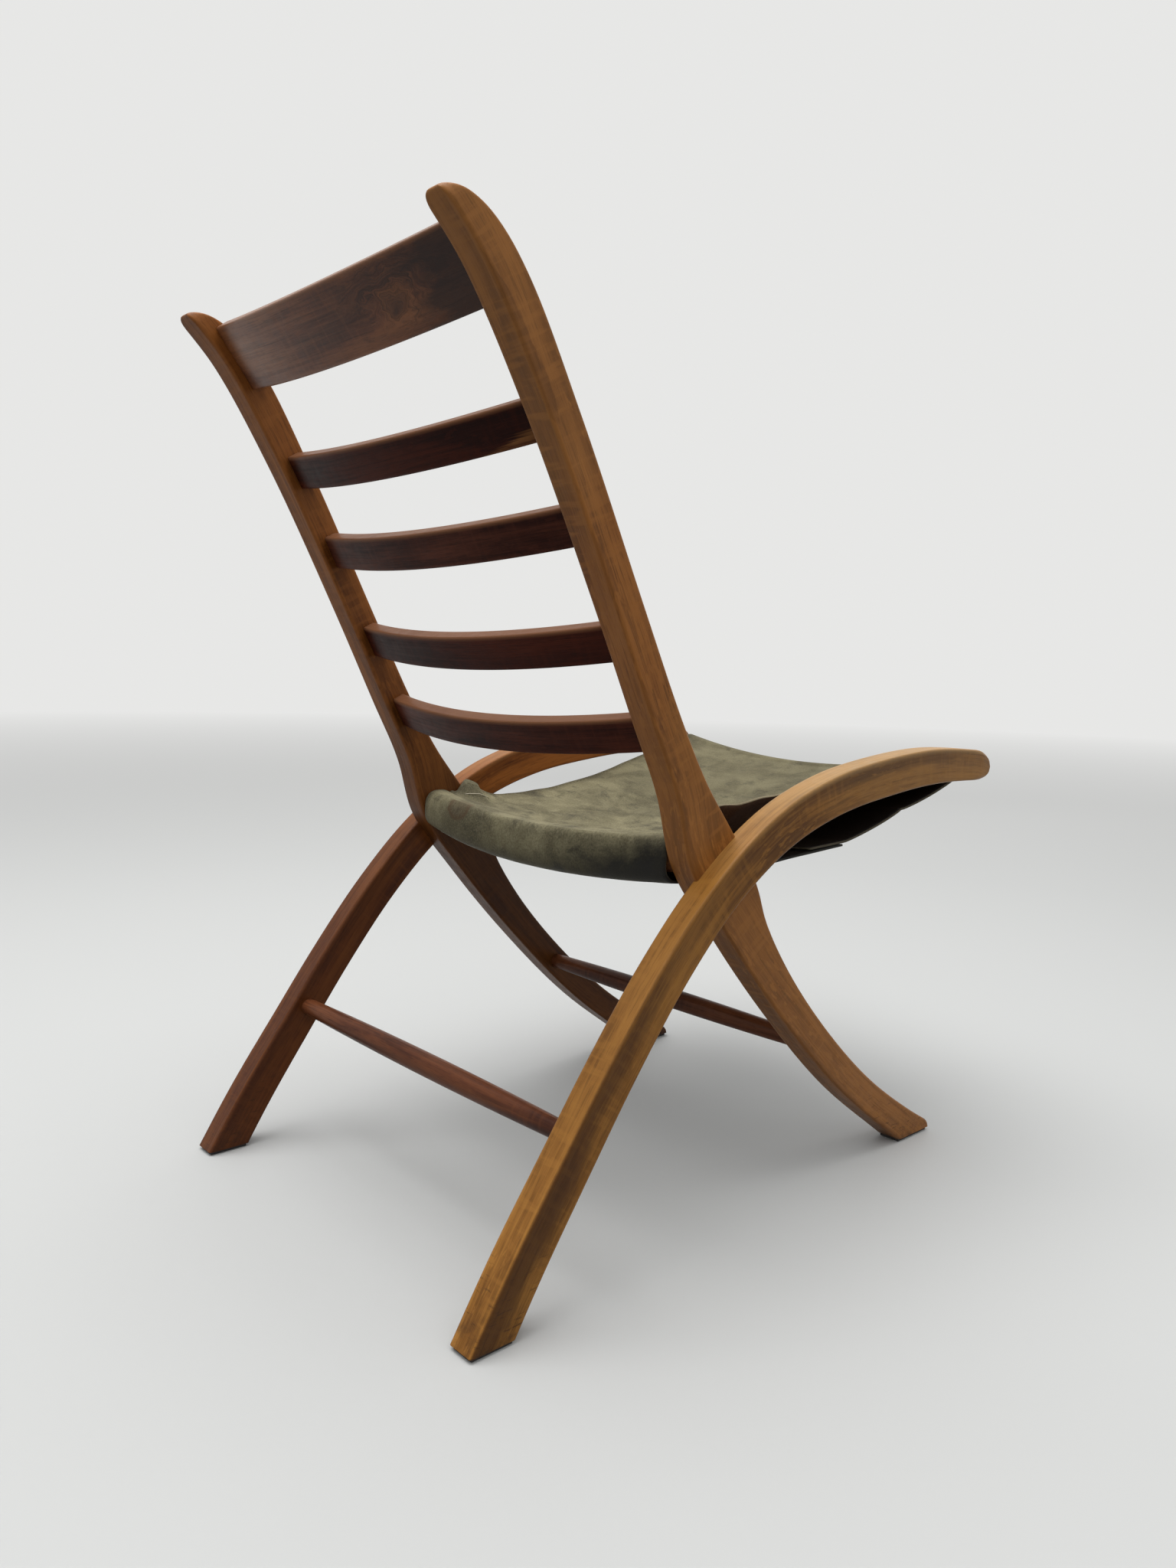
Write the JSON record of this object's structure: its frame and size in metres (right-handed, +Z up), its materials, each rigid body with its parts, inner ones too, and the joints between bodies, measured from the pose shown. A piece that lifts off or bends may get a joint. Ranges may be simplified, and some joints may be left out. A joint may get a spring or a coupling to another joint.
{
  "type": "sling seat lounge chair",
  "caption": "Low wooden lounge chair with crossed curved legs, a raked ladder back of bowed slats and a wrapped suede sling seat.",
  "frame": {"origin": "on the floor under the middle of the chair's outline box", "axes": "+Z up, -Y the way the sitter faces, +X to the sitter's left"},
  "size_m": [0.52, 0.789, 0.898],
  "materials": {
    "frame_wood": "oiled, satin, with streaky figure and small pinholes",
    "slat_wood": "oiled, satin, darker reddish heartwood",
    "stretcher_wood": "oiled, turned",
    "hidden_wood": "plain",
    "suede": "worn olive suede, matt",
    "pad_rubber": "matt"
  },
  "bodies": {
    "root": {"right_arch": "frame_wood", "left_arch": "frame_wood", "right_upright": "frame_wood", "left_upright": "frame_wood", "crest_slat": "slat_wood", "back_slat_1": "slat_wood", "back_slat_2": "slat_wood", "back_slat_3": "slat_wood", "back_slat_4": "slat_wood", "rear_stretcher": "stretcher_wood", "front_stretcher": "stretcher_wood", "rear_seat_rail": "hidden_wood", "front_seat_rail": "hidden_wood", "right_lap_pin": "hidden_wood", "left_lap_pin": "hidden_wood", "seat_sling": "suede", "right_rear_foot_pad": "pad_rubber", "left_rear_foot_pad": "pad_rubber", "right_front_foot_pad": "pad_rubber", "left_front_foot_pad": "pad_rubber"}
  },
  "joints": []
}
